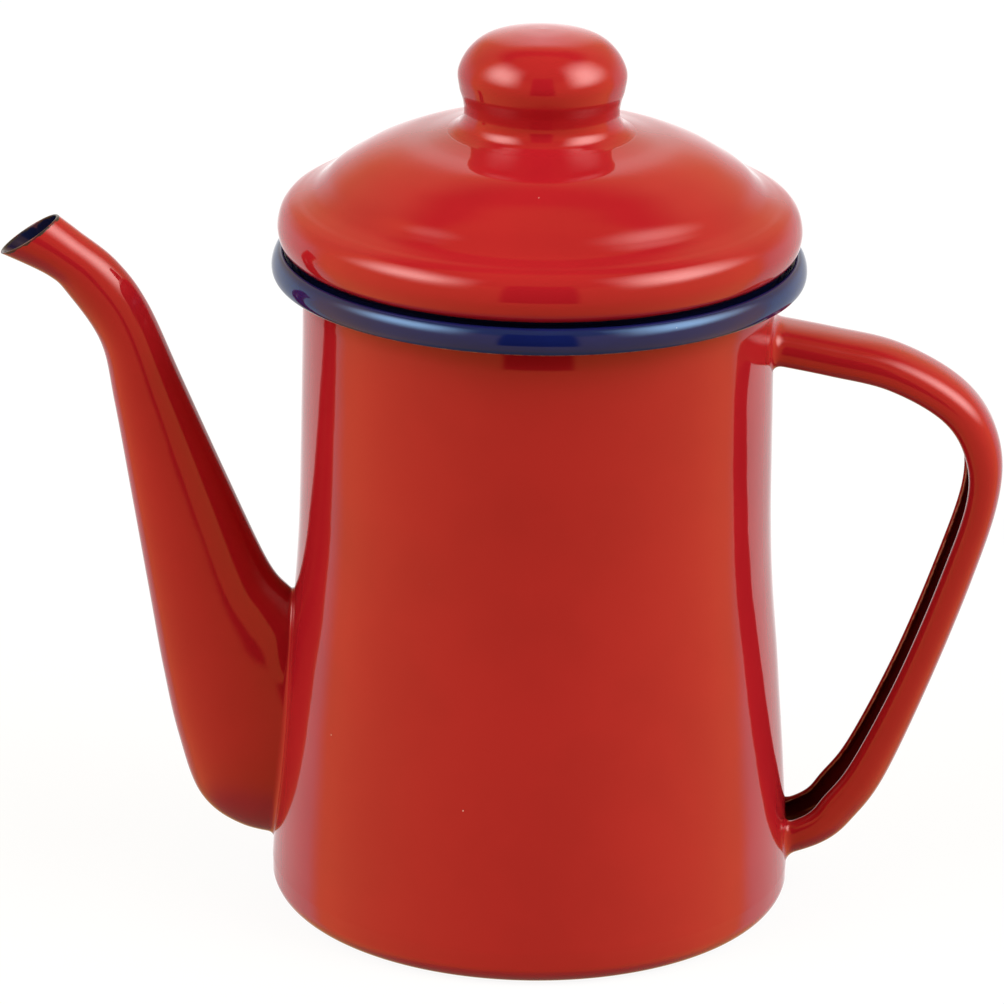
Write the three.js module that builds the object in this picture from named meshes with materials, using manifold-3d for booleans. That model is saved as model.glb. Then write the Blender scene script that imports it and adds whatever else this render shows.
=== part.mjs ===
// Enamelled steel coffee pot with a gooseneck spout, a channel handle and a lift-off lid.
// Lengths are millimetres and +Z is up. The origin is the middle of the base, on the table.
// The spout points along -X and the handle along +X.
import * as THREE from 'three';
import { mergeVertices } from 'three/addons/utils/BufferGeometryUtils.js';
import Module from 'manifold-3d';

const wasm = await Module();
wasm.setup();

// Sizes that the whole pot shares: the neck, the mouth and the lid follow the base
const baseRadius = 53;
const neckInset = 6;
const wallTop = 130.6;
const sheet = 1;
const seatGap = 0.3;

// Base pan: rounded corner and a raised stiffening groove
const cornerRadius = 4.1;
const panHeight = 7;
const grooveRadius = 34.5;
const grooveHalfWidth = 3.5;
const grooveDepth = 1.2;

// Wall outline from the pan to the mouth: how far up, and how much of the base's flare is left
const wallUpShares = [0, 0.13, 0.342, 0.551, 0.812, 1];
const wallFlareShares = [1, 0.855, 0.506, 0.144, 0.036, 0];

// Strainer holes in the wall behind the spout
const strainerRows = 7;
const strainerRowHoles = 3;
const strainerHeightShare = 0.26;
const strainerPitch = 5.6;
const strainerHoleRadius = 1.5;

// Mouth ring: flare, flat ledge and rolled bead
const ledgeRise = 2.4;
const ledgeWidth = 0.4;
const beadRadius = 2.2;
const beadLift = 0.5;

// Spout outlines and half-widths, from the tip to the root inside the wall
const spoutReach = 60;
const spoutTipRise = 10.9;
const spoutRootHalfWidth = 10.4;
const upperOutShares = [0.85, 0.783, 0.616, 0.513, 0.397, 0.253, 0.116, 0.04, -0.017, -0.05, -0.067, -0.083];
const upperUpShares = [0.995, 0.997, 0.936, 0.874, 0.76, 0.619, 0.49, 0.449, 0.428, 0.41, 0.399, 0.389];
const lowerOutShares = [1.007, 0.849, 0.778, 0.672, 0.628, 0.571, 0.514, 0.473, 0.423, 0.346, 0.202, -0.007];
const lowerUpShares = [0.948, 0.917, 0.889, 0.819, 0.729, 0.583, 0.434, 0.328, 0.225, 0.13, 0.082, 0.065];
const halfWidthShares = [0.57, 0.545, 0.54, 0.554, 0.63, 0.75, 0.87, 0.93, 0.98, 1, 1, 0.96];

// Handle: a channel bent along one path and open towards the pot, with its edges rolled in
const handleReach = 40.4;
const handleFootRise = 5.5;
const handleTopDrop = 13.8;
const handleHalfWidth = 8.3;
const handleBackDepth = 6.2;
const handleLipRadius = 1.3;
const handleOutShares = [-0.075, 0.272, 0.581, 0.856, 0.985, 1.008, 0.895, 0.702, 0.486, 0.35, 0.239, -0.024];
const handleUpShares = [1, 0.974, 0.945, 0.884, 0.807, 0.71, 0.553, 0.345, 0.161, 0.085, 0.038, -0.001];
const handleDepthShares = [1.05, 1.08, 1.1, 1.08, 1.05, 0.89, 0.91, 0.96, 1.13, 1.2, 1.1, 1];

// Lid shell: crown, dome, shallow groove, rolled edge and the flange turned in below
const lidInset = 1.2;
const lidHeight = 27.6;
const crownMargin = 2;
const ventRadius = 2;
const flangeWidth = 2.7;
const lidOutShares = [
  0.43, 0.544, 0.65, 0.734, 0.79, 0.832, 0.864, 0.903, 0.936, 0.964, 0.988, 1, 0.996, 0.982, 0.952, 0.927,
];
const lidUpShares = [
  0.966, 0.92, 0.842, 0.752, 0.681, 0.606, 0.556, 0.52, 0.495, 0.462, 0.4, 0.309, 0.228, 0.178, 0.145, 0.109,
];

// Collar that drops into the mouth and keeps the lid in place
const collarClearance = 0.8;
const collarDepth = 9.8;

// Knob: a hollow pressing that stands on the crown
const knobHeight = 20.5;
const knobRadius = 16.6;
const knobFootWidth = 3;
const knobOutShares = [0, 0.337, 0.678, 0.882, 1, 0.989, 0.943, 0.925, 0.976, 1.054];
const knobUpShares = [1, 0.98, 0.912, 0.784, 0.603, 0.439, 0.304, 0.167, 0.073, 0.024];

// Facets round the axis and along the curves
const aroundSteps = 40;
const knobAroundSteps = 32;
const holeSteps = 10;
const wallSteps = 12;
const cornerSteps = 5;
const beadSteps = 12;
const lidSteps = 16;
const knobSteps = 12;
const spoutSteps = 18;
const spoutRoundSteps = 9;
const handleSteps = 24;
const handleBackSteps = 8;
const handleLipSteps = 2;

const redEnamel = { color: 0xb8231c, roughness: 0.12, metalness: 0 };
const navyEnamel = { color: 0x1b2452, roughness: 0.14, metalness: 0 };

// Heights and radii that follow from the sizes
const neckRadius = baseRadius - neckInset;
const mouthRadius = neckRadius + ledgeRise - sheet + ledgeWidth + 2 * beadRadius;
const ledgeTop = wallTop + ledgeRise;
const spoutRise = wallTop + spoutTipRise;
const strainerHeight = spoutRise * strainerHeightShare;
const handleFootHeight = panHeight + handleFootRise;
const handleSpan = wallTop - handleTopDrop - handleFootHeight;
const lidRadius = mouthRadius - lidInset;
const crownRadius = knobRadius + crownMargin;
const collarRadius = neckRadius - sheet - collarClearance;
const flangeRadius = collarRadius + flangeWidth;

// A point of an outline: radius or reach, then height
function at(out, up) {
  return new THREE.Vector2(out, up);
}

// Points of a round stretch between two angles
function arc(middle, radius, startAngle, endAngle, steps) {
  const sweep = endAngle - startAngle;
  return Array.from({ length: steps + 1 }, (_, i) => {
    const angle = startAngle + (sweep * i) / steps;
    return at(middle.x + radius * Math.cos(angle), middle.y + radius * Math.sin(angle));
  });
}

function smooth(points, steps) {
  return new THREE.SplineCurve(points).getPoints(steps);
}

// The same line moved to the left of its direction
function movedLeft(points, distance) {
  return points.map((point, i) => {
    const before = points[Math.max(i - 1, 0)];
    const after = points[Math.min(i + 1, points.length - 1)];
    const along = after.clone().sub(before).normalize();
    return at(point.x - along.y * distance, point.y + along.x * distance);
  });
}

// Keeps one vertex where several meet, and drops the empty triangles that a lathe leaves on its axis
function welded(geometry) {
  geometry.deleteAttribute('normal');
  geometry.deleteAttribute('uv');
  const merged = mergeVertices(geometry, sheet / 1000);
  const index = [...merged.getIndex().array];
  const kept = [];
  for (let i = 0; i < index.length; i += 3) {
    const [a, b, c] = index.slice(i, i + 3);
    if (a !== b && b !== c && c !== a) {
      kept.push(a, b, c);
    }
  }
  merged.setIndex(kept);
  return merged;
}

// A body turned about +Z from a closed outline that runs anticlockwise
function turned(outline, steps) {
  const geometry = new THREE.LatheGeometry([...outline, outline[0]], steps);
  geometry.rotateX(Math.PI / 2);
  return welded(geometry);
}

// A bent sheet lofted through rings: each ring has an outer row of points and an inner one
function loftedSheet(rings) {
  const rowLength = rings[0].outer.length;
  const ringLength = 2 * rowLength;
  const loops = rings.map((ring) => [...ring.outer, ...[...ring.inner].reverse()]);
  const faces = [];
  for (let start = 0; start < (rings.length - 1) * ringLength; start += ringLength) {
    for (let i = 0; i < ringLength; i += 1) {
      const a = start + i;
      const b = start + ((i + 1) % ringLength);
      faces.push(a, b, b + ringLength, a, b + ringLength, a + ringLength);
    }
  }
  const last = (rings.length - 1) * ringLength;
  for (let i = 0; i < rowLength - 1; i += 1) {
    const across = ringLength - 1 - i;
    faces.push(i, across, i + 1, i + 1, across, across - 1);
    faces.push(last + i, last + i + 1, last + across, last + i + 1, last + across - 1, last + across);
  }
  const geometry = new THREE.BufferGeometry().setFromPoints(loops.flat());
  geometry.setIndex(faces);
  return facingOut(geometry);
}

// Turns every face round if the body is inside out
function facingOut(geometry) {
  const position = geometry.getAttribute('position');
  const index = [...geometry.getIndex().array];
  const corners = index.map((i) => new THREE.Vector3().fromBufferAttribute(position, i));
  let volume = 0;
  for (let i = 0; i < corners.length; i += 3) {
    volume += corners[i].dot(corners[i + 1].clone().cross(corners[i + 2]));
  }
  if (volume < 0) {
    geometry.setIndex(index.reverse());
  }
  return geometry;
}

function toSolid(geometry) {
  const vertProperties = Float32Array.from(geometry.getAttribute('position').array);
  const triVerts = Uint32Array.from(geometry.getIndex().array);
  return new wasm.Manifold(new wasm.Mesh({ numProp: 3, vertProperties, triVerts }));
}

function toGeometry(solid) {
  const mesh = solid.getMesh();
  const geometry = new THREE.BufferGeometry();
  geometry.setAttribute('position', new THREE.BufferAttribute(mesh.vertProperties, 3));
  geometry.setIndex(new THREE.BufferAttribute(mesh.triVerts, 1));
  return geometry;
}

// Outside line of the wall, from the pan up to the mouth
function wallLine() {
  const points = wallUpShares.map((up, i) => at(
    neckRadius + (baseRadius - neckRadius) * wallFlareShares[i],
    panHeight + (wallTop - panHeight) * up,
  ));
  return smooth(points, wallSteps);
}

// Waisted wall, rolled from sheet, with the strainer holes punched through it
function bodyWall() {
  const outside = wallLine();
  const inside = outside.map((point) => at(point.x - sheet, point.y)).reverse();
  const shell = toSolid(turned([...outside, ...inside], aroundSteps));
  return toGeometry(strainerHoles().reduce((rest, hole) => rest.subtract(hole), shell));
}

// Full rows of holes and rows with one hole less, in turn
function strainerHoles() {
  const holes = [];
  for (let row = 0; row < strainerRows; row += 1) {
    const count = strainerRowHoles - (row % 2);
    const height = strainerHeight + (row - (strainerRows - 1) / 2) * strainerPitch;
    for (let i = 0; i < count; i += 1) {
      const drill = new THREE.CylinderGeometry(strainerHoleRadius, strainerHoleRadius, baseRadius, holeSteps);
      drill.rotateZ(Math.PI / 2);
      drill.translate(-baseRadius, (i - (count - 1) / 2) * strainerPitch, height);
      holes.push(toSolid(welded(drill)));
    }
  }
  return holes;
}

// Pressed base: flat middle, raised groove, flat foot and rounded corner
function basePan() {
  const cornerMiddle = at(baseRadius - cornerRadius, cornerRadius);
  const under = [
    at(0, 0),
    at(grooveRadius - grooveHalfWidth, 0),
    at(grooveRadius - grooveHalfWidth + grooveDepth, grooveDepth),
    at(grooveRadius + grooveHalfWidth - grooveDepth, grooveDepth),
    at(grooveRadius + grooveHalfWidth, 0),
    ...arc(cornerMiddle, cornerRadius, -Math.PI / 2, 0, cornerSteps),
    at(baseRadius, panHeight),
  ];
  const over = [
    at(baseRadius - sheet, panHeight),
    ...arc(cornerMiddle, cornerRadius - sheet, 0, -Math.PI / 2, cornerSteps),
    at(grooveRadius + grooveHalfWidth + sheet / 2, sheet),
    at(grooveRadius + grooveHalfWidth - grooveDepth + sheet / 2, grooveDepth + sheet),
    at(grooveRadius - grooveHalfWidth + grooveDepth - sheet / 2, grooveDepth + sheet),
    at(grooveRadius - grooveHalfWidth - sheet / 2, sheet),
    at(0, sheet),
  ];
  return turned([...under, ...over], aroundSteps);
}

// Mouth ring: flares out of the wall to the ledge that seats the lid, and ends in a rolled bead
function mouthRing() {
  const bead = at(mouthRadius - beadRadius, ledgeTop + beadLift);
  const ledgeUnder = ledgeTop - sheet;
  const flare = ledgeUnder - wallTop;
  const underAngle = Math.asin((bead.y - ledgeUnder) / beadRadius) - Math.PI;
  const overAngle = Math.PI + Math.asin((bead.y - ledgeTop) / beadRadius);
  const outline = [
    ...arc(at(neckRadius + flare, wallTop), flare, Math.PI, Math.PI / 2, cornerSteps),
    ...arc(bead, beadRadius, underAngle, overAngle, beadSteps),
    ...arc(at(neckRadius + flare, wallTop), flare + sheet, Math.PI / 2, Math.PI, cornerSteps),
  ];
  return turned(outline, aroundSteps);
}

// The pot's outside with the welding gap round it, which trims what is welded on
function weldingEnvelope() {
  const low = at(baseRadius + seatGap, -panHeight);
  const high = at(neckRadius + seatGap, wallTop + panHeight);
  const side = wallLine().map((point) => at(point.x + seatGap, point.y));
  return toSolid(turned([at(0, low.y), low, ...side, high, at(0, high.y)], aroundSteps));
}

// One pressed half of the spout, on the side of +Y or -Y
function spoutHalf(side) {
  const place = (out, up) => at(-(neckRadius + spoutReach * out), spoutRise * up);
  const upper = smooth(upperOutShares.map((out, i) => place(out, upperUpShares[i])), spoutSteps);
  const lower = smooth(lowerOutShares.map((out, i) => place(out, lowerUpShares[i])), spoutSteps);
  const last = halfWidthShares.length - 1;
  const widths = smooth(halfWidthShares.map((share, i) => at(i / last, spoutRootHalfWidth * share)), spoutSteps);
  const rings = upper.map((top, i) => {
    const middle = top.clone().add(lower[i]).divideScalar(2);
    const reach = top.clone().sub(middle);
    const row = (inset) => Array.from({ length: spoutRoundSteps + 1 }, (_, k) => {
      const angle = (Math.PI * k) / spoutRoundSteps;
      const along = reach.clone().setLength(reach.length() - inset).multiplyScalar(Math.cos(angle));
      const across = side * (widths[i].y - inset) * Math.sin(angle);
      return new THREE.Vector3(middle.x + along.x, across, middle.y + along.y);
    });
    return { outer: row(0), inner: row(sheet) };
  });
  return toGeometry(toSolid(loftedSheet(rings)).subtract(weldingEnvelope()));
}

// Outside line of the handle's section, as (across, outward): lip, round back, lip
function handleSection(backDepth) {
  const lipMiddle = handleHalfWidth - handleLipRadius;
  const back = arc(at(0, 0), 1, Math.PI, 0, handleBackSteps);
  return [
    ...arc(at(-lipMiddle, 0), handleLipRadius, -Math.PI / 2, -Math.PI, handleLipSteps).slice(0, -1),
    ...back.map((point) => at(handleHalfWidth * point.x, backDepth * point.y)),
    ...arc(at(lipMiddle, 0), handleLipRadius, 0, -Math.PI / 2, handleLipSteps).slice(1),
  ];
}

// Channel handle: its section carried along the path, with both ends trimmed to the wall
function handle() {
  const path = new THREE.SplineCurve(handleOutShares.map((out, i) => at(
    neckRadius + handleReach * out,
    handleFootHeight + handleSpan * handleUpShares[i],
  )));
  const last = handleDepthShares.length - 1;
  const depths = smooth(handleDepthShares.map((share, i) => at(i / last, handleBackDepth * share)), handleSteps);
  const rings = depths.map((depth, i) => {
    const outside = handleSection(depth.y);
    const inside = movedLeft(outside, -sheet);
    const middle = path.getPoint(i / handleSteps);
    const along = path.getTangent(i / handleSteps);
    const place = (point) => new THREE.Vector3(
      middle.x - along.y * point.y,
      point.x,
      middle.y + along.x * point.y,
    );
    return { outer: outside.map(place), inner: inside.map(place) };
  });
  return toGeometry(toSolid(loftedSheet(rings)).subtract(weldingEnvelope()));
}

// Lid, with heights from the underside of its flange
function lidShell() {
  const dome = lidOutShares.map((out, i) => at(lidRadius * out, lidHeight * lidUpShares[i]));
  const rising = smooth([at(crownRadius, lidHeight), ...dome], lidSteps).reverse();
  const outline = [
    at(collarRadius + seatGap, 0),
    at(flangeRadius, 0),
    ...rising,
    at(ventRadius, lidHeight),
    at(ventRadius, lidHeight - sheet),
    ...movedLeft(rising, sheet).reverse(),
    at(flangeRadius - sheet / 2, sheet),
    at(collarRadius + seatGap, sheet),
  ];
  return turned(outline, aroundSteps);
}

// Collar: hangs in the mouth, with a flange that lies on the lid's own flange
function lidCollar() {
  const reach = flangeRadius - sheet / 2 - seatGap;
  const outline = [
    at(collarRadius - sheet, -collarDepth),
    at(collarRadius, -collarDepth),
    at(collarRadius, sheet),
    at(reach, sheet),
    at(reach, 2 * sheet),
    at(collarRadius - sheet, 2 * sheet),
  ];
  return turned(outline, aroundSteps);
}

// Hollow knob that stands on the crown and is open below
function lidKnob() {
  const ball = knobOutShares.map((out, i) => at(knobRadius * out, lidHeight + knobHeight * knobUpShares[i]));
  const rising = smooth([...ball, at(crownRadius, lidHeight)], knobSteps).reverse();
  const inside = movedLeft(rising, sheet).filter((point) => point.y > lidHeight).reverse();
  inside[0].x = 0;
  const outline = [...inside, at(crownRadius - knobFootWidth, lidHeight), ...rising];
  return turned(outline, knobAroundSteps);
}

function piece(name, geometry, finish) {
  geometry.computeVertexNormals();
  const mesh = new THREE.Mesh(geometry, new THREE.MeshStandardMaterial(finish));
  mesh.name = name;
  return mesh;
}

const pot = new THREE.Group();
pot.add(piece('base_pan', basePan(), redEnamel));
pot.add(piece('body_wall', bodyWall(), redEnamel));
pot.add(piece('mouth_ring', mouthRing(), navyEnamel));
pot.add(piece('spout_left_half', spoutHalf(-1), redEnamel));
pot.add(piece('spout_right_half', spoutHalf(1), redEnamel));
pot.add(piece('handle', handle(), redEnamel));

const lid = new THREE.Group();
lid.position.z = ledgeTop + seatGap;
lid.add(piece('lid_shell', lidShell(), redEnamel));
lid.add(piece('lid_collar', lidCollar(), navyEnamel));
lid.add(piece('lid_knob', lidKnob(), redEnamel));

const coffeePot = new THREE.Group();
coffeePot.add(pot, lid);

export default coffeePot;
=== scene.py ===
"""Enamelled steel coffee pot with a gooseneck spout, a channel handle and a lift-off lid.

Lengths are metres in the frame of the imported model: +Z is up, the origin is the middle of the base,
the spout points along -X and the handle along +X. The sections follow the pot as it is put together.
"""
import math

import bmesh
import bpy
import numpy as np
from mathutils import Matrix


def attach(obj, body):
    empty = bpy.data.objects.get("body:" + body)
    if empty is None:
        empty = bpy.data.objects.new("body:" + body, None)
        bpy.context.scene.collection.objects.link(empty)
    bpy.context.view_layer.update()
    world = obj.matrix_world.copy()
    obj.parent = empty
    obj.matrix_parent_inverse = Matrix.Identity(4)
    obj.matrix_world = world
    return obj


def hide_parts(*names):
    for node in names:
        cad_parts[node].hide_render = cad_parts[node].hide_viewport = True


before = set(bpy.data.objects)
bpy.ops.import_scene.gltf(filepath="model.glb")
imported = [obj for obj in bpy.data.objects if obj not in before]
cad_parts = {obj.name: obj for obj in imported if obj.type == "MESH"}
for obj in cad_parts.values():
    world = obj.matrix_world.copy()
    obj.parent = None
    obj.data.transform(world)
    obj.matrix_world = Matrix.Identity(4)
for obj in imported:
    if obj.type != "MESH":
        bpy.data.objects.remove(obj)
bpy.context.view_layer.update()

# Camera: a long lens 1.1 m away, 20 degrees above the table and looking along +Y, with the slight
# roll that the photograph has. Its lens and sensor are in millimetres, as Blender takes them.
mm = 0.001
camera_target = np.array([-6.72, 0, 82.81]) * mm
camera_distance = 1100 * mm
camera_elevation = math.radians(20.09)
camera_roll = math.radians(0.84)
camera_lens = 195.5
sensor_width = 36

camera_data = bpy.data.cameras.new("camera")
camera_data.lens = camera_lens
camera_data.sensor_width = sensor_width
camera = bpy.data.objects.new("camera", camera_data)
bpy.context.scene.collection.objects.link(camera)
towards_camera = np.array([0, -math.cos(camera_elevation), math.sin(camera_elevation)])
level_right = np.array([1, 0, 0])
level_up = np.cross(towards_camera, level_right)
rolled_right = level_right * math.cos(camera_roll) + level_up * math.sin(camera_roll)
rolled_up = level_up * math.cos(camera_roll) - level_right * math.sin(camera_roll)
placing = np.eye(4)
placing[:3, 0] = rolled_right
placing[:3, 1] = rolled_up
placing[:3, 2] = towards_camera
placing[:3, 3] = camera_target + camera_distance * towards_camera
camera.matrix_world = Matrix(placing.tolist())
bpy.context.scene.camera = camera
bpy.context.scene.view_settings.view_transform = "Standard"


# Studio: a pale floor, a white sweep behind the pot that its enamel mirrors, a dimmer warm room in
# front with a dark gap where the camera stands, and a softbox on either side of the camera.
class Shade:
    """One output of a shader node. Operators on it add Math nodes, and node() adds any other kind."""

    def __init__(self, tree, output=None):
        self.tree = tree
        self.output = output

    def node(self, kind, settings, inputs, output=0):
        """Adds a node, gives it its settings, then the values or links of its inputs."""
        made = self.tree.nodes.new(kind)
        for name, value in settings.items():
            setattr(made, name, value)
        for name, value in inputs.items():
            if isinstance(value, Shade):
                self.tree.links.new(value.output, made.inputs[name])
            else:
                made.inputs[name].default_value = value
        return Shade(self.tree, made.outputs[output] if made.outputs else None)

    def math(self, operation, *values):
        return self.node("ShaderNodeMath", {"operation": operation}, dict(enumerate(values)))

    def rise(self, low, high):
        """0 below low, 1 above high, and a smooth step between them."""
        limits = {"Value": self, "From Min": low, "From Max": high}
        return self.node("ShaderNodeMapRange", {"interpolation_type": "SMOOTHSTEP"}, limits)

    def blend(self, first, second):
        """The first colour where this is 0 and the second where it is 1."""
        return self.node("ShaderNodeMix", {"data_type": "RGBA"}, {0: self, 6: first, 7: second}, 2)

    def noise(self, place, scale, detail=2):
        inputs = {"Vector": place, "Scale": scale, "Detail": detail}
        return self.node("ShaderNodeTexNoise", {}, inputs, "Fac")

    def __add__(self, other):
        return self.math("ADD", self, other)

    def __sub__(self, other):
        return self.math("SUBTRACT", self, other)

    def __rsub__(self, other):
        return self.math("SUBTRACT", other, self)

    def __mul__(self, other):
        return self.math("MULTIPLY", self, other)

    def __abs__(self):
        return self.math("ABSOLUTE", self)

    __radd__ = __add__
    __rmul__ = __mul__


def rgb(red, green, blue):
    return (red, green, blue, 1)


def grey(level):
    return rgb(level, level, level)


white = grey(1)


def window(angle, opens, open_from, open_to, closes):
    """1 between open_from and open_to, 0 before opens and after closes, with smooth steps between."""
    return angle.rise(opens, open_from) * (1 - angle.rise(open_to, closes))


def studio_light():
    """Light by its direction: its turn about the pot away from the camera, positive towards the handle,
    and its height above the table, both in degrees. Each part covers the parts before it."""
    ahead, beside, behind = rgb(0.98, 0.43, 0.13), rgb(1.6, 0.74, 0.26), rgb(0.8, 0.52, 0.23)
    overhead, underfoot, ceiling = rgb(0.2, 0.075, 0.02), rgb(0.4, 0.34, 0.28), rgb(0.45, 0.33, 0.07)
    ceiling_lean = math.radians(20)
    world = bpy.data.worlds.new("studio")
    bpy.context.scene.world = world
    world.use_nodes = True
    world.node_tree.nodes.clear()
    room = Shade(world.node_tree)
    direction = room.node("ShaderNodeTexCoord", {}, {}, "Generated")
    x, y, z = (room.node("ShaderNodeSeparateXYZ", {}, {"Vector": direction}, axis) for axis in "XYZ")
    turn = x.math("ARCTAN2", x, -1 * y) * math.degrees(1)
    height = z.math("ARCSINE", z) * math.degrees(1)
    aside = abs(turn)
    colour = aside.rise(0, 100).blend(ahead, beside)
    colour = aside.rise(95, 125).blend(colour, behind)
    colour = height.rise(44, 62).blend(colour, overhead)
    colour = height.rise(-62, -42).blend(underfoot, colour)
    nearness = z * math.cos(ceiling_lean) - y * math.sin(ceiling_lean)
    from_ceiling = nearness.math("ARCCOSINE", nearness) * math.degrees(1)
    colour = from_ceiling.rise(31, 41).blend(ceiling, colour)
    gap = window(height, -11, -7, 44, 48) * (1 - aside.rise(14.5, 18.5))
    sweep = aside.rise(105, 118) * window(height, -42, -26, 0, 25)
    glow = aside.rise(156, 186) * window(height, -42, -26, 38, 48)
    left_softbox = window(-1 * turn, 27, 63, 70, 107) * window(height, 10, 36, 37, 65)
    right_softbox = window(turn, 31, 69, 73, 118) * window(height, 10, 32, 38, 72)
    greys = [(gap, 0.01), (sweep, 0.84), (glow, 1.5), (left_softbox, 7.7), (right_softbox, 8.2)]
    for share, level in greys:
        colour = share.blend(colour, grey(level))
    seen = room.node("ShaderNodeLightPath", {}, {}, "Is Camera Ray")
    shown = room.node("ShaderNodeBackground", {}, {"Color": seen.blend(colour, white)})
    room.node("ShaderNodeOutputWorld", {}, {"Surface": shown})


def floor():
    """A flat pale sheet. The camera sees it nearly white, and it keeps a light shadow of the pot."""
    half, drop, shadow_share = 3, 0.05 * mm, 0.09
    real_paper, seen_paper = rgb(0.3, 0.29, 0.27), rgb(0.9, 1, 1)
    mesh = bpy.data.meshes.new("floor")
    corners = [(-half, -half, -drop), (half, -half, -drop), (half, half, -drop), (-half, half, -drop)]
    mesh.from_pydata(corners, [], [(0, 1, 2, 3)])
    sheet_of_paper = bpy.data.objects.new("floor", mesh)
    bpy.context.scene.collection.objects.link(sheet_of_paper)
    sheet_of_paper.visible_glossy = False
    paper = bpy.data.materials.new("pale_floor")
    paper.use_nodes = True
    paper.node_tree.nodes.clear()
    shade = Shade(paper.node_tree)
    seen = shade.node("ShaderNodeLightPath", {}, {}, "Is Camera Ray")
    lit = shade.node("ShaderNodeBsdfDiffuse", {}, {"Color": seen.blend(real_paper, seen_paper)})
    glow = shade.node("ShaderNodeEmission", {}, {"Color": white})
    shown = shade.node("ShaderNodeMixShader", {}, {0: seen * (1 - shadow_share), 1: lit, 2: glow})
    shade.node("ShaderNodeOutputMaterial", {}, {"Surface": shown})
    mesh.materials.append(paper)


studio_light()
floor()

# Wall: 1 mm steel sheet rolled into a waisted tube, with strainer holes punched behind the spout.
# Fused glass covers it, red outside and navy inside, slightly wavy and with a few specks.
base_radius = 53 * mm
neck_inset = 6 * mm
wall_top = 130.6 * mm
pan_height = 7 * mm
sheet = 1 * mm
wall_up_shares = [0, 0.13, 0.342, 0.551, 0.812, 1]
wall_flare_shares = [1, 0.855, 0.506, 0.144, 0.036, 0]
wall_steps = 110
pinch_steps = 24
pinch_height = 4.6 * mm
pinch_depth = 0.45 * mm
outline_steps = 600
around_steps = 224
strainer_rows = 7
holes_in_long_row = 3
strainer_height = 36.8 * mm
strainer_pitch = 5.6 * mm
strainer_radius = 1.5 * mm
strainer_edge_steps = 20
cut_edge_steepness = 4
rust_width = 0.3 * mm
neck_radius = base_radius - neck_inset

red = rgb(0.358, 0.011, 0.0186)
deep_red = rgb(0.333, 0.0098, 0.0172)
navy = rgb(0.007, 0.011, 0.052)
deep_navy = rgb(0.005, 0.008, 0.04)
rust = rgb(0.11, 0.035, 0.018)
red_glint = rgb(1, 0.62, 0.56)


def spline(points, steps):
    """Smooth line through points: each stretch is the cubic whose slope at a point is half the way from
    the point before it to the point after it."""
    points = np.asarray(points, float)
    places = np.linspace(0, len(points) - 1, steps + 1)
    first = np.minimum(places.astype(int), len(points) - 2)
    w = (places - first)[:, None]
    before, start, stop, after = (points[np.clip(first + i, 0, len(points) - 1)] for i in (-1, 0, 1, 2))
    leaving, arriving = (stop - before) / 2, (after - start) / 2
    cubic = (2 * start - 2 * stop + leaving + arriving) * w**3
    return cubic + (3 * stop - 3 * start - 2 * leaving - arriving) * w**2 + leaving * w + start


def grid_faces(rows, columns, closed_rows, closed_columns):
    """Quads between neighbours of a rows by columns grid, which may run round in either direction."""
    i = np.arange(rows - (not closed_rows))[:, None]
    j = np.arange(columns - (not closed_columns))[None]
    after_i, after_j = (i + 1) % rows, (j + 1) % columns
    rings = i * columns, after_i * columns
    corners = [rings[0] + j, rings[0] + after_j, rings[1] + after_j, rings[1] + j]
    return np.stack(corners, -1).reshape(-1, 4).tolist()


def make_piece(name, points, faces, past_rim, material):
    """Closed mesh that carries past_rim at its points: doubles are merged, faces turned outwards, and all
    edges but sharp ones smoothed."""
    merge_distance, sharp = mm / 10000, math.radians(50)
    mesh = bpy.data.meshes.new(name)
    mesh.from_pydata(points.reshape(-1, 3).tolist(), [], faces)
    marks = mesh.attributes.new("past_rim", "FLOAT", "POINT")
    marks.data.foreach_set("value", past_rim.astype(np.float32).ravel())
    body = bmesh.new()
    body.from_mesh(mesh)
    bmesh.ops.remove_doubles(body, verts=body.verts, dist=merge_distance)
    bmesh.ops.recalc_face_normals(body, faces=body.faces)
    body.to_mesh(mesh)
    body.free()
    mesh.shade_smooth()
    mesh.set_sharp_from_angle(angle=sharp)
    mesh.materials.append(material)
    made = bpy.data.objects.new(name, mesh)
    bpy.context.scene.collection.objects.link(made)
    return made


def turned(name, outline, past_rim, material, steps=around_steps):
    """Body turned about +Z: point (r, z) of the closed outline and angle a give (r cos a, r sin a, z)."""
    a = np.arange(steps) * 2 * math.pi / steps
    r, z = outline[:, :1], outline[:, 1:]
    points = np.stack([r * np.cos(a), r * np.sin(a), z + 0 * a], -1)
    faces = grid_faces(len(outline), steps, True, True)
    return make_piece(name, points, faces, np.repeat(past_rim, steps), material)


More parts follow.
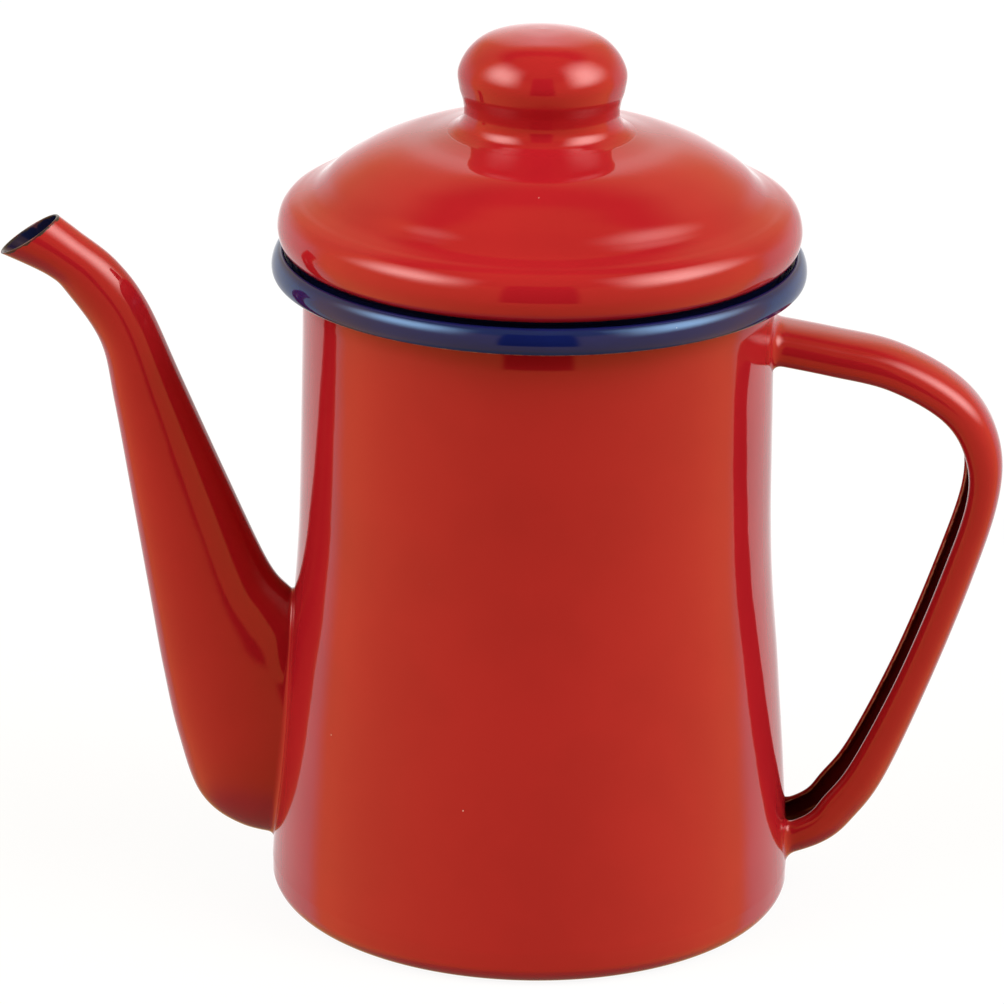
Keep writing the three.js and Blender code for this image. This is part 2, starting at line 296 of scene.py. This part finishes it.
def enamel(name, first, first_deep, second, second_deep, rim, rim_width, glint):
    """Fused glass: two colours that meet at the rim line, slow clouds, specks, pinholes and a wavy skin.
    A scale is about the number of blots or cells in a metre."""
    cloud_scale, ragged_scale, rim_patch_scale, cell_scale = 45, 700, 330, 150
    patch_scale, wave_scale, ripple_scale, ripple_share = 90, 55, 420, 0.06
    least_roughness, roughness_spread, rim_patch_roughness = 0.04, 0.03, 0.2
    wave_height, colour_edge = 0.16 * mm, 0.05 * mm
    dot, speck_edge, pinhole_edge = 0.014, 0.028, 0.026
    specks_from, pinholes_to = 0.88, 0.05
    pale_speck, dark_pinhole = rgb(0.8, 0.72, 0.68), rgb(0.02, 0.008, 0.008)
    made = bpy.data.materials.new(name)
    made.use_nodes = True
    made.node_tree.nodes.clear()
    shade = Shade(made.node_tree)
    place = shade.node("ShaderNodeTexCoord", {}, {}, "Object")
    cloud = shade.noise(place, cloud_scale, 3).rise(0.35, 0.7)
    way = shade.node("ShaderNodeAttribute", {"attribute_name": "past_rim"}, {}, "Fac")
    ragged = way + (shade.noise(place, ragged_scale, 3) - 0.5) * rim_width
    inside = ragged.rise(-colour_edge, colour_edge)
    # Near the rim line the rim colour shows in ragged patches; on the handle's cut edges it is a painted
    # highlight.
    near_rim = 1 - abs(ragged).rise(0.35 * rim_width, 0.5 * rim_width)
    bare_and_highlit_rim = near_rim * shade.noise(place, rim_patch_scale).rise(0.3, 0.5)
    colour = inside.blend(cloud.blend(first, first_deep), cloud.blend(second, second_deep))
    cells = {"Vector": place, "Scale": cell_scale}
    spot = shade.node("ShaderNodeTexVoronoi", {}, cells, "Distance")
    chosen = shade.node("ShaderNodeTexVoronoi", {}, cells, "Color")
    pick = shade.node("ShaderNodeSeparateXYZ", {}, {"Vector": chosen}, "X")
    speck = (1 - spot.rise(dot, speck_edge)) * pick.rise(specks_from, specks_from + 0.01)
    pinhole = (1 - spot.rise(dot, pinhole_edge)) * (1 - pick.rise(pinholes_to, pinholes_to + 0.01))
    colour = (speck * 0.8).blend(colour, pale_speck)
    colour = (pinhole * 0.75).blend(colour, dark_pinhole)
    colour = bare_and_highlit_rim.blend(colour, rim)
    patches = shade.noise(place, patch_scale)
    roughness = least_roughness + roughness_spread * patches + rim_patch_roughness * bare_and_highlit_rim
    waves = shade.noise(place, wave_scale, 1) + ripple_share * shade.noise(place, ripple_scale)
    bump = {"Strength": 1, "Distance": wave_height, "Height": waves}
    wavy = shade.node("ShaderNodeBump", {}, bump, "Normal")
    inputs = {"Base Color": colour, "Roughness": roughness, "Normal": wavy}
    inputs |= {"IOR": 1.6, "Specular Tint": glint}
    glass = shade.node("ShaderNodeBsdfPrincipled", {}, inputs)
    shade.node("ShaderNodeOutputMaterial", {}, {"Surface": glass})
    return made


pot_colours = [red, deep_red, navy, deep_navy, rust]
pot_enamel = enamel("red_over_navy_enamel", *pot_colours, rust_width, red_glint)


def waisted_line():
    """Outside of the wall: a smooth line through the shares, less a pinch that deepens up to the mouth
    as a smooth step, 3 w squared less 2 w cubed."""
    shares = np.stack([wall_flare_shares, wall_up_shares], -1)
    height_span = wall_top - pan_height
    smooth = spline([neck_radius, pan_height] + shares * [neck_inset, height_span], outline_steps)
    pinched = np.linspace(wall_top - pinch_height, wall_top, pinch_steps + 1)
    height = np.concatenate([np.linspace(pan_height, pinched[0], wall_steps + 1)[:-1], pinched])
    w = np.clip((height - pinched[0]) / pinch_height, 0, 1)
    radius = np.interp(height, smooth[:, 1], smooth[:, 0]) - pinch_depth * w**2 * (3 - 2 * w)
    return np.stack([radius, height], -1)


wall_line = waisted_line()


def wall_radius(height):
    """Outside radius of the wall at a height, read from its outline."""
    return np.interp(height, wall_line[:, 1], wall_line[:, 0])


wall_outline = np.concatenate([wall_line, (wall_line - [sheet, 0])[::-1]])
wall = turned("wall", wall_outline, np.zeros(len(wall_outline)), pot_enamel)

# Punches for the strainer holes: a long row and one with a hole less in turn.
punches = bmesh.new()
for row in range(strainer_rows):
    count = holes_in_long_row - row % 2
    for i in range(count):
        across = (i - (count - 1) / 2) * strainer_pitch
        up = strainer_height + (row - (strainer_rows - 1) / 2) * strainer_pitch
        placed = Matrix.Translation((-base_radius, across, up)) @ Matrix.Rotation(math.pi / 2, 4, "Y")
        bmesh.ops.create_cone(
            punches, cap_ends=True, segments=strainer_edge_steps, radius1=strainer_radius,
            radius2=strainer_radius, depth=base_radius, matrix=placed,
        )
punch_mesh = bpy.data.meshes.new("punches")
punches.to_mesh(punch_mesh)
punches.free()
punch_tool = bpy.data.objects.new("punches", punch_mesh)
bpy.context.scene.collection.objects.link(punch_tool)
punching = wall.modifiers.new("punching", "BOOLEAN")
punching.operation = "DIFFERENCE"
punching.object = punch_tool
punching.solver = "EXACT"
bpy.context.view_layer.update()
punched = bpy.data.meshes.new_from_object(wall.evaluated_get(bpy.context.evaluated_depsgraph_get()))
wall.modifiers.clear()
wall.data = punched
bpy.data.objects.remove(punch_tool)

# The navy starts halfway through the sheet, at a depth below the outside. The depth is made steeper,
# so that the ragged line between the colours stays in the middle of the cut edges.
places = np.zeros(len(punched.vertices) * 3)
punched.vertices.foreach_get("co", places)
places = places.reshape(-1, 3)
depth = wall_radius(places[:, 2]) - sheet / 2 - np.hypot(places[:, 0], places[:, 1])
past_middle = (depth * cut_edge_steepness).astype(np.float32)
punched.attributes["past_rim"].data.foreach_set("value", past_middle)

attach(wall, "pot")
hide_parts("body_wall")

# Base pan: pressed from sheet, welded into the foot of the wall, with a rounded corner and a
# stiffening groove pressed upwards. Red outside, navy inside.
corner_radius = 4.1 * mm
groove_radius = 34.5 * mm
groove_half_width = 3.5 * mm
groove_depth = 1.2 * mm
groove_steps = 16
corner_steps = 14


def arc(middle, radius, start, stop, steps):
    """Points at middle + radius (cos a, sin a), with the angle a going from start to stop in degrees."""
    a = np.radians(np.linspace(start, stop, steps + 1))
    return np.asarray(middle) + radius * np.stack([np.cos(a), np.sin(a)], -1)


def rim_distance(outline, start, stop):
    """Way along the outline from the nearer colour change: below 0 from start to stop, else above 0."""
    steps = np.linalg.norm(np.diff(outline, axis=0, append=outline[:1]), axis=1)
    way = np.concatenate([[0], np.cumsum(steps)[:-1]])
    whole = steps.sum()
    gaps = [np.abs(way - way[i]) for i in (start, stop)]
    nearest = np.min([np.minimum(gap, whole - gap) for gap in gaps], axis=0)
    between = np.zeros(len(outline), bool)
    between[start : stop + 1] = True
    return np.where(between, -nearest, nearest)


def groove(middle, half_width, rise, steps):
    """Raised ring of the pressing: its height is rise times a raised cosine across its width."""
    share = np.linspace(-1, 1, steps + 1)
    return np.stack([middle + half_width * share, rise * (1 + np.cos(math.pi * share)) / 2], -1)


pan_corner = [base_radius - corner_radius, corner_radius]
pan_groove = groove(groove_radius, groove_half_width, groove_depth, groove_steps)
pan_under = np.concatenate([
    [[0, 0]],
    pan_groove,
    arc(pan_corner, corner_radius, -90, 0, corner_steps),
    [[base_radius, pan_height]],
])
pan_over = np.concatenate([
    [[0, sheet]],
    pan_groove + [0, sheet],
    arc(pan_corner, corner_radius - sheet, -90, 0, corner_steps),
    [[base_radius - sheet, pan_height]],
])
pan_outline = np.concatenate([pan_under, pan_over[::-1]])
pan_rim = rim_distance(pan_outline, 0, len(pan_under) - 1) - sheet / 2
pan = turned("base_pan_enamelled", pan_outline, pan_rim, pot_enamel)
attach(pan, "pot")
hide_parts("base_pan")

# Mouth ring: flares out of the wall to the ledge that seats the lid, and its edge is rolled into a
# bead, flattened on the outside. It is dipped in navy, which ends in a pale ragged line under the bead.
ledge_rise = 2.4 * mm
ledge_width = 0.4 * mm
bead_radius = 2.2 * mm
bead_long_half = 2.6 * mm
bead_short_half = 1.35 * mm
bead_lift = 1.1 * mm
bead_lean = math.radians(14)
bead_starts = -137
navy_starts = -84
bead_ends = 120
bead_under_steps = 14
bead_over_steps = 50
flare_under_steps = 10
flare_over_steps = 12
pale_edge_width = 0.4 * mm

bead_navy = rgb(0.005, 0.011, 0.1)
deep_bead_navy = rgb(0.004, 0.008, 0.08)
pale_edge = rgb(0.42, 0.28, 0.18)
bead_glint = rgb(0.48, 0.8, 1.2)

ledge_top = wall_top + ledge_rise
mouth_radius = neck_radius + ledge_rise - sheet + ledge_width + 2 * bead_radius
bead_reach = math.hypot(bead_short_half * math.cos(bead_lean), bead_long_half * math.sin(bead_lean))
bead_middle = np.array([mouth_radius - bead_reach, ledge_top + bead_lift])


def bead_arc(start, stop, steps):
    """Part of the bead's leaning oval, between two angles in degrees that start at its outer flat side."""
    a = np.radians(np.linspace(start, stop, steps + 1))[:, None]
    outwards = np.array([math.cos(bead_lean), math.sin(bead_lean)])
    upwards = np.array([-math.sin(bead_lean), math.cos(bead_lean)])
    return bead_middle + bead_short_half * np.cos(a) * outwards + bead_long_half * np.sin(a) * upwards


flare_radius = ledge_rise - sheet
flare_middle = [neck_radius - pinch_depth + flare_radius, wall_top]
ring_under = arc(flare_middle, flare_radius, 180, 90, flare_under_steps)
bead_under = bead_arc(bead_starts, navy_starts, bead_under_steps)
bead_over = bead_arc(navy_starts, bead_ends, bead_over_steps)[1:]
ring_over = arc(flare_middle, flare_radius + sheet, 90, 180, flare_over_steps)
ring_outline = np.concatenate([ring_under, bead_under, bead_over, ring_over])
rim_colours = [red, deep_red, bead_navy, deep_bead_navy, pale_edge]
ring_enamel = enamel("navy_rim_enamel", *rim_colours, pale_edge_width, bead_glint)
ring_rim = rim_distance(ring_outline, 0, len(ring_under) + len(bead_under) - 1)
ring = turned("rolled_mouth_ring", ring_outline, ring_rim, ring_enamel)
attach(ring, "pot")
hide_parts("mouth_ring")

# Spout: two pressed halves of a gooseneck tube, welded along the seam in the pot's middle plane and
# onto the wall with a small fillet. Red outside, navy inside, and thin grey enamel on the cut lip.
spout_reach = 60 * mm
spout_above_wall = 10.9 * mm
spout_rise = wall_top + spout_above_wall
spout_half_width = 10.4 * mm
upper_out_shares = [0.806, 0.74, 0.616, 0.513, 0.397, 0.253, 0.116, 0.04, -0.017, -0.05, -0.067, -0.083]
upper_up_shares = [1.001, 0.979, 0.936, 0.874, 0.76, 0.619, 0.49, 0.449, 0.428, 0.41, 0.399, 0.389]
lower_out_shares = [0.997, 0.845, 0.778, 0.672, 0.628, 0.571, 0.514, 0.473, 0.423, 0.346, 0.202, -0.007]
lower_up_shares = [0.948, 0.917, 0.889, 0.819, 0.729, 0.583, 0.434, 0.328, 0.225, 0.13, 0.082, 0.065]
half_width_shares = [0.57, 0.545, 0.54, 0.554, 0.63, 0.75, 0.87, 0.93, 0.98, 1, 1, 0.96]
spout_steps = 330
spout_rows = 150
spout_round_steps = 44
lip_thickness = 0.5 * mm
thinned_steps = 24
lip_steps = 5
grey_width = 1.2 * mm
grey_half_lip = 0.2 * mm
grey_edge = 0.25 * mm
spout_fillet = 1.3 * mm
fillet_steps = 7
sink = 0.12 * mm

lip_grey = rgb(0.02, 0.024, 0.025)


def above_wall(points):
    """How far points stand outside the wall, measured level from the pot's axis."""
    return np.hypot(points[..., 0], points[..., 1]) - wall_radius(points[..., 2])


def at_rows(lines, rows):
    """Points at fractional rows of lines, one column of rows for each line."""
    first = np.clip(rows.astype(int), 0, len(lines) - 2)
    w = (rows - first)[..., None]
    column = np.arange(lines.shape[1])
    return lines[first, column] * (1 - w) + lines[first + 1, column] * w


def row_where(values, level):
    """The fractional row where each column of values first rises past the level."""
    after = np.maximum(np.argmax(values > level, axis=0), 1)
    column = np.arange(values.shape[1])
    low, high = values[after - 1, column], values[after, column]
    return after - 1 + (level - low) / (high - low)


def unit(vectors):
    """Vectors brought to length 1."""
    return vectors / np.linalg.norm(vectors, axis=-1, keepdims=True)


def wall_normal(points):
    """Outward direction of the wall: level from the axis, less the slope of its radius along +Z."""
    step = mm / 10
    slope = (wall_radius(points[..., 2] + step) - wall_radius(points[..., 2] - step)) / (2 * step)
    out = unit(points[..., :2])
    return unit(np.concatenate([out, -slope[..., None]], -1))


def at_way(way, rows):
    """Way travelled along each column at its fractional row."""
    return at_rows(way[..., None], rows[None])[0, :, 0]


def facing_away(lines, rows, middle):
    """Direction square to a surface of lines at one row of each line, on the side away from middle."""
    column = np.arange(lines.shape[1])
    square = np.cross(np.gradient(lines, axis=0), np.gradient(lines, axis=1))[rows, column]
    away = lines[rows, column] - middle
    return unit(square) * np.sign((square * away).sum(-1, keepdims=True))


def landed(lines, outward, flare, size):
    """Lines that start in the open and end in the wall, cut there and bent onto it: the last size of each
    line becomes a quadratic curve. Its corner is where the line meets the wall, and its end lies flare
    times size further out along the wall."""
    meet = row_where(-above_wall(lines), 0)
    steps = np.linalg.norm(np.diff(lines, axis=0), axis=-1)
    way = np.concatenate([np.zeros((1, lines.shape[1])), np.cumsum(steps, axis=0)])
    leave = row_where(way, at_way(way, meet) - size)
    corner = at_rows(lines, meet[None])[0]
    start = at_rows(lines, leave[None])[0]
    normal = wall_normal(corner)
    sideways = outward - (outward * normal).sum(-1, keepdims=True) * normal
    end = corner + unit(sideways) * size * flare[:, None]
    sunk = wall_radius(end[:, 2]) - sink
    end[:, :2] *= (sunk / np.hypot(end[:, 0], end[:, 1]))[:, None]
    w = np.linspace(0, 1, fillet_steps + 1)[1:, None, None]
    bend = start * (1 - w) ** 2 + corner * 2 * w * (1 - w) + end * w**2
    return leave, bend


def sheet_metal(name, outer, inner, front_edge, back_edge, past_rim, material):
    """Closed body of bent sheet: its skins run from the back edge to the front edge, one row across for
    each line, and the two outermost rows are closed from skin to skin."""
    loop = np.concatenate([outer, front_edge, inner[::-1], back_edge])
    across = loop.shape[1]
    faces = grid_faces(len(loop), across, True, False)
    number = np.arange(len(loop)) * across
    skin, front, inward = len(outer), len(front_edge), len(inner)
    out, back = number[:skin], number[skin + front : skin + front + inward][::-1]
    for column in (0, across - 1):
        caps = np.stack([out[:-1], out[1:], back[1:], back[:-1]], -1) + column
        faces += caps.tolist()
        if front:
            faces.append((number[skin - 1 : skin + front + 1] + column).tolist())
        if len(back_edge):
            back_round = np.append(number[skin + front + inward - 1 :], number[0])
            faces.append((back_round + column).tolist())
    return make_piece(name, loop, faces, past_rim, material)


def rounded_edge(outer, inner, forward, steps):
    """Half circle from the outer skin's edge over to the inner skin's, bulging forward."""
    a = np.radians(np.linspace(0, 180, steps + 2)[1:-1])[:, None, None]
    middle, half = (outer + inner) / 2, (outer - inner) / 2
    bulge = forward * np.linalg.norm(half, axis=-1, keepdims=True)
    return middle + np.cos(a) * half + np.sin(a) * bulge


def plane_line(out_shares, up_shares, reach, rise, steps):
    """Smooth line in the pot's middle plane through shares of a reach and a rise."""
    return spline(np.stack([out_shares, up_shares], -1) * [reach, rise], steps)


def spout_skins():
    """Outer and inner half sections of the tube: middle plus half height times cos a up, and half width
    times sin a out. The sheet thins towards the lip."""
    upper = plane_line(upper_out_shares, upper_up_shares, spout_reach, spout_rise, spout_steps)
    lower = plane_line(lower_out_shares, lower_up_shares, spout_reach, spout_rise, spout_steps)
    width = spline(np.array(half_width_shares)[:, None] * spout_half_width, spout_steps)
    a = np.linspace(0, math.pi, spout_round_steps + 1)
    middle, half = (upper + lower) / 2, (upper - lower) / 2
    skins = []
    thickness = np.interp(np.arange(spout_steps + 1), [0, thinned_steps], [lip_thickness, sheet])[:, None]
    for inset in (0 * thickness, thickness):
        shrunk = half * (1 - inset / np.linalg.norm(half, axis=1, keepdims=True))
        out = neck_radius + middle[:, :1] + shrunk[:, :1] * np.cos(a)
        side = (width - inset) * np.sin(a)
        skins.append(np.stack([-out, side, middle[:, 1:] + shrunk[:, 1:] * np.cos(a)], -1))
    return skins


spout_colours = [red, deep_red, navy, deep_navy, lip_grey]
spout_enamel = enamel("spout_enamel", *spout_colours, grey_width, red_glint)
outer_skin, inner_skin = spout_skins()
meet_rows = np.round(row_where(-above_wall(outer_skin), 0)).astype(int)
outward = facing_away(outer_skin, meet_rows, outer_skin[meet_rows].mean(1))
spread = np.ones(len(meet_rows))
outer_leave, outer_bend = landed(outer_skin, outward, spread, spout_fillet)
inner_leave, inner_bend = landed(inner_skin, outward, 0 * spread, spout_fillet)

# The two lines of the seam stay in the pot's middle plane.
for bend in (outer_bend, inner_bend):
    bend[:, [0, -1], 1] = 0
share = np.linspace(0, 1, spout_rows + 1)[:, None]
outer_lines = np.concatenate([at_rows(outer_skin, share * outer_leave), outer_bend])[::-1]
inner_lines = np.concatenate([at_rows(inner_skin, share * inner_leave), inner_bend])[::-1]
forward = unit(outer_skin[0] - outer_skin[2])
lip = rounded_edge(outer_lines[-1], inner_lines[-1], forward, lip_steps)

# Way past the colour change: below 0 on the outer skin and above 0 on the inner, with 0 on the lip.
stretches = np.linalg.norm(np.diff(outer_lines, axis=0, append=outer_lines[-1:]), axis=-1)
run = stretches[::-1].cumsum(axis=0)[::-1]
lip_run = np.linspace(-grey_half_lip, grey_half_lip, lip_steps)[:, None] + 0 * run[:lip_steps]
spout_rim = np.concatenate([-run - grey_edge, lip_run, run[::-1] + grey_edge])

spout_sides = {"spout_left_half": ("spout_near_half", -1), "spout_right_half": ("spout_far_half", 1)}
for node, (name, side) in spout_sides.items():
    outer, inner, edge = (lines * [1, side, 1] for lines in (outer_lines, inner_lines, lip))
    no_edge = edge[:0]
    spout_half = sheet_metal(name, outer, inner, edge, no_edge, spout_rim, spout_enamel)
    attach(spout_half, "pot")
    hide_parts(node)

# Handle: one strip pressed into a channel, open towards the pot, with its edges rolled in, bent to
# shape and welded to the wall at both ends. Red, with dark brown painted shade inside the channel and
# a pale painted highlight along the cut edges.
handle_reach = 40.4 * mm
handle_above_pan = 5.5 * mm
handle_below_top = 13.8 * mm
handle_foot = pan_height + handle_above_pan
handle_span = wall_top - handle_below_top - handle_foot
handle_half_width = 8.3 * mm
handle_back_depth = 6.2 * mm
handle_lip_reach = 1.3 * mm
handle_lip_round = 2.2 * mm
handle_out_shares = [-0.075, 0.272, 0.581, 0.856, 0.985, 1.008, 0.895, 0.702, 0.486, 0.35, 0.239, -0.024]
handle_up_shares = [1, 0.974, 0.945, 0.884, 0.807, 0.71, 0.553, 0.345, 0.161, 0.085, 0.038, -0.001]
handle_depth_shares = [0.98, 1, 1.02, 1.02, 1.02, 0.89, 0.91, 0.96, 1.13, 1.2, 1.1, 1]
handle_fullness = 2.6
handle_steps = 440
handle_rows = 220
handle_lip_steps = 8
handle_back_steps = 48
handle_edge_steps = 3
handle_fillet = 2.2 * mm
edge_highlight_width = 0.3 * mm
far_from_rim = 10 * mm

# Painted shade: the channel's inner skin is darkened to brown in place of the shade inside it.
painted_channel_shade = rgb(0.17, 0.011, 0.013)
deep_painted_channel_shade = rgb(0.12, 0.008, 0.009)
# Painted highlight: a pale line along the rolled lips' cut edges.
painted_edge_highlight = rgb(0.6, 0.28, 0.23)


def moved_left(line, distance):
    """The line moved sideways: each point goes that far along its tangent turned left by a quarter."""
    along = np.gradient(line, axis=-2)
    along /= np.linalg.norm(along, axis=-1, keepdims=True)
    return line + distance * np.stack([-along[..., 1], along[..., 0]], -1)


def channel(depths):
    """Outer section of the channel for each depth: a lip arc, the back, and a lip arc. The back is half an
    ellipse made fuller: its shares across and outward, to the power of the fullness, add up to 1."""
    lip_middle = handle_half_width - handle_lip_round
    lip_rise = handle_lip_round - handle_lip_reach
    left = arc([-lip_middle, lip_rise], handle_lip_round, -90, -180, handle_lip_steps)[:-1]
    right = arc([lip_middle, lip_rise], handle_lip_round, 0, -90, handle_lip_steps)[1:]
    back = arc([0, 0], 1, 180, 0, handle_back_steps)
    back = np.sign(back) * np.abs(back) ** (2 / handle_fullness) * [handle_half_width, 1]
    line = np.concatenate([left, back, right])
    number = np.arange(len(line))
    on_back = (number >= len(left)) & (number < len(left) + len(back))
    outward = np.where(on_back, lip_rise + line[:, 1] * (depths[:, None] - lip_rise), line[:, 1])
    return np.stack([line[:, 0] + 0 * outward, outward], -1)


def carried(section):
    """Section points (across, outward) put square to the path: outward goes a quarter left of its run."""
    x = handle_path[:, :1] - handle_run[:, 1:] * section[..., 1]
    z = handle_path[:, 1:] + handle_run[:, :1] * section[..., 1]
    return np.stack([x, section[..., 0], z], -1)


handle_path = plane_line(handle_out_shares, handle_up_shares, handle_reach, handle_span, handle_steps)
handle_path += [neck_radius, handle_foot]
handle_run = unit(np.gradient(handle_path, axis=0))
depths = spline(np.array(handle_depth_shares)[:, None] * handle_back_depth, handle_steps)[:, 0]
outside_section = channel(depths)
skins = [carried(outside_section), carried(moved_left(outside_section, -sheet))]
sideways = np.array([0, 1, 0])
edges = [
    rounded_edge(skins[0][:, -1], skins[1][:, -1], -sideways, handle_edge_steps).transpose(1, 0, 2),
    rounded_edge(skins[1][:, 0], skins[0][:, 0], sideways, handle_edge_steps).transpose(1, 0, 2),
]
loop_lines = np.concatenate([skins[0], edges[0], skins[1][:, ::-1], edges[1]], axis=1)
skin_count, edge_count = skins[0].shape[1], edges[0].shape[1]
on_outer_skin = np.arange(loop_lines.shape[1]) < skin_count

# Each half of the path runs from its middle to the wall, and is cut there and bent onto it.
middle_row = handle_steps // 2
share = np.linspace(0, 1, handle_rows // 2 + 1)[:, None]
parts = []
for lines in (loop_lines[: middle_row + 1][::-1], loop_lines[middle_row:]):
    meet_rows = np.round(row_where(-above_wall(lines), 0)).astype(int)
    meet_rows = np.clip(meet_rows, 0, len(lines) - 1)
    middle = lines[meet_rows, np.arange(lines.shape[1])].mean(0)
    outward = facing_away(lines, meet_rows, middle)
    leave, bend = landed(lines, outward, 1.0 * on_outer_skin, handle_fillet)
    parts.append(np.concatenate([at_rows(lines, share * leave), bend]))
handle_lines = np.concatenate([parts[0][::-1], parts[1][1:]]).transpose(1, 0, 2)
outer = handle_lines[:skin_count]
front_edge = handle_lines[skin_count : skin_count + edge_count]
inner = handle_lines[skin_count + edge_count : 2 * skin_count + edge_count][::-1]
back_edge = handle_lines[2 * skin_count + edge_count :]

# The colours change along the cut edges: below 0 on the outer skin and above 0 on the inner.
handle_colours = [red, deep_red, painted_channel_shade, deep_painted_channel_shade, painted_edge_highlight]
handle_enamel = enamel("handle_enamel", *handle_colours, edge_highlight_width, red_glint)
# The band across each cut edge takes the pale painted highlight.
over_edge = np.linspace(-edge_highlight_width, edge_highlight_width, edge_count)
over_skin = np.full(skin_count, far_from_rim)
handle_rim = np.concatenate([-over_skin, over_edge, over_skin, -over_edge])[:, None]
handle_rim = handle_rim + 0 * handle_lines[..., 0]
handle = sheet_metal("channel_handle", outer, inner, front_edge, back_edge, handle_rim, handle_enamel)
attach(handle, "pot")
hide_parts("handle")

# Lid shell: pressed dome with a flat crown under the knob, a shallow groove, a full rolled edge and a
# flange turned in below. Red outside, navy inside.
seat_gap = 0.3 * mm
lid_low = ledge_top + seat_gap
lid_inset = 1.2 * mm
lid_radius = mouth_radius - lid_inset
lid_height = 27.6 * mm
knob_radius = 16.6 * mm
crown_margin = 2 * mm
crown_radius = knob_radius + crown_margin
vent_radius = 2 * mm
collar_play = 0.8 * mm
collar_radius = neck_radius - sheet - collar_play
flange_width = 2.7 * mm
flange_radius = collar_radius + flange_width
lid_out_shares = [
    0.43, 0.544, 0.65, 0.734, 0.79, 0.832, 0.864, 0.903,
    0.936, 0.964, 0.988, 1, 0.996, 0.984, 0.96, 0.94,
]
lid_up_shares = [
    0.966, 0.92, 0.842, 0.752, 0.681, 0.606, 0.556, 0.52,
    0.495, 0.462, 0.4, 0.309, 0.228, 0.178, 0.142, 0.109,
]
red_edge_shares = [0.972, 0.15]
dome_steps = 150

lid_shares = np.stack([lid_out_shares, lid_up_shares], -1)
dome_points = np.concatenate([[[crown_radius, lid_height]], lid_shares * [lid_radius, lid_height]])
dome = spline(dome_points, dome_steps)[::-1]
lid_flange = [[collar_radius + seat_gap, 0], [flange_radius, 0]]
lid_outline = np.concatenate([
    lid_flange,
    dome,
    [[vent_radius, lid_height], [vent_radius, lid_height - sheet]],
    moved_left(dome, sheet)[::-1],
    [[flange_radius - sheet / 2, sheet], [collar_radius + seat_gap, sheet]],
])

# Red covers the outside and goes round the rolled edge, and it ends under it at the red edge.
to_red_edge = np.linalg.norm(dome - np.array(red_edge_shares) * [lid_radius, lid_height], axis=1)
red_from = len(lid_flange) + np.argmin(to_red_edge)
lid_rim = rim_distance(lid_outline, red_from, len(lid_flange) + len(dome))
lid_shell = turned("lid_dome", lid_outline + [0, lid_low], lid_rim, pot_enamel)
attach(lid_shell, "lid")
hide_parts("lid_shell")

# Lid collar: a band of sheet that hangs in the mouth and keeps the lid in place, with a flange that
# lies on the lid's own flange. Navy all over.
collar_depth = 9.8 * mm
collar_edge_steps = 6
collar_reach = flange_radius - sheet / 2 - seat_gap
collar_flange = [[collar_reach, sheet], [collar_reach, 2 * sheet], [collar_radius - sheet, 2 * sheet]]
collar_outline = np.concatenate([
    arc([collar_radius - sheet / 2, sheet / 2 - collar_depth], sheet / 2, 180, 360, collar_edge_steps),
    [[collar_radius, sheet]],
    collar_flange,
])
collar_rim = np.full(len(collar_outline), far_from_rim)
collar = turned("lid_collar_band", collar_outline + [0, lid_low], collar_rim, ring_enamel)
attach(collar, "lid")
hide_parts("lid_collar")

# Knob: a hollow ball pressed from sheet, with a waist and a foot that runs out into the crown, where
# it is welded on. Red outside, navy inside.
knob_height = 20.5 * mm
knob_foot_width = 3 * mm
ball_steps = 90
knob_around_steps = 128
knob_out_shares = [0, 0.337, 0.678, 0.882, 1, 0.989, 0.943, 0.925, 0.976, 1.054]
knob_up_shares = [1, 0.98, 0.912, 0.784, 0.603, 0.439, 0.304, 0.167, 0.073, 0.024]
ball_points = np.concatenate([
    [0, lid_height] + np.stack([knob_out_shares, knob_up_shares], -1) * [knob_radius, knob_height],
    [[crown_radius, lid_height]],
])
ball = spline(ball_points, ball_steps)[::-1]

# The inside of the ball, down to the crown and closed on the axis.
hollow = moved_left(ball, sheet)
hollow = hollow[hollow[:, 1] > lid_height][::-1]
hollow[0, 0] = 0
knob_outline = np.concatenate([ball, hollow, [[crown_radius - knob_foot_width, lid_height]]])
knob_rim = rim_distance(knob_outline, 0, len(ball) - 1)
knob_rim[: len(ball)] = -far_from_rim
knob = turned("knob", knob_outline + [0, lid_low], knob_rim, pot_enamel, knob_around_steps)
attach(knob, "lid")
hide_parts("lid_knob")
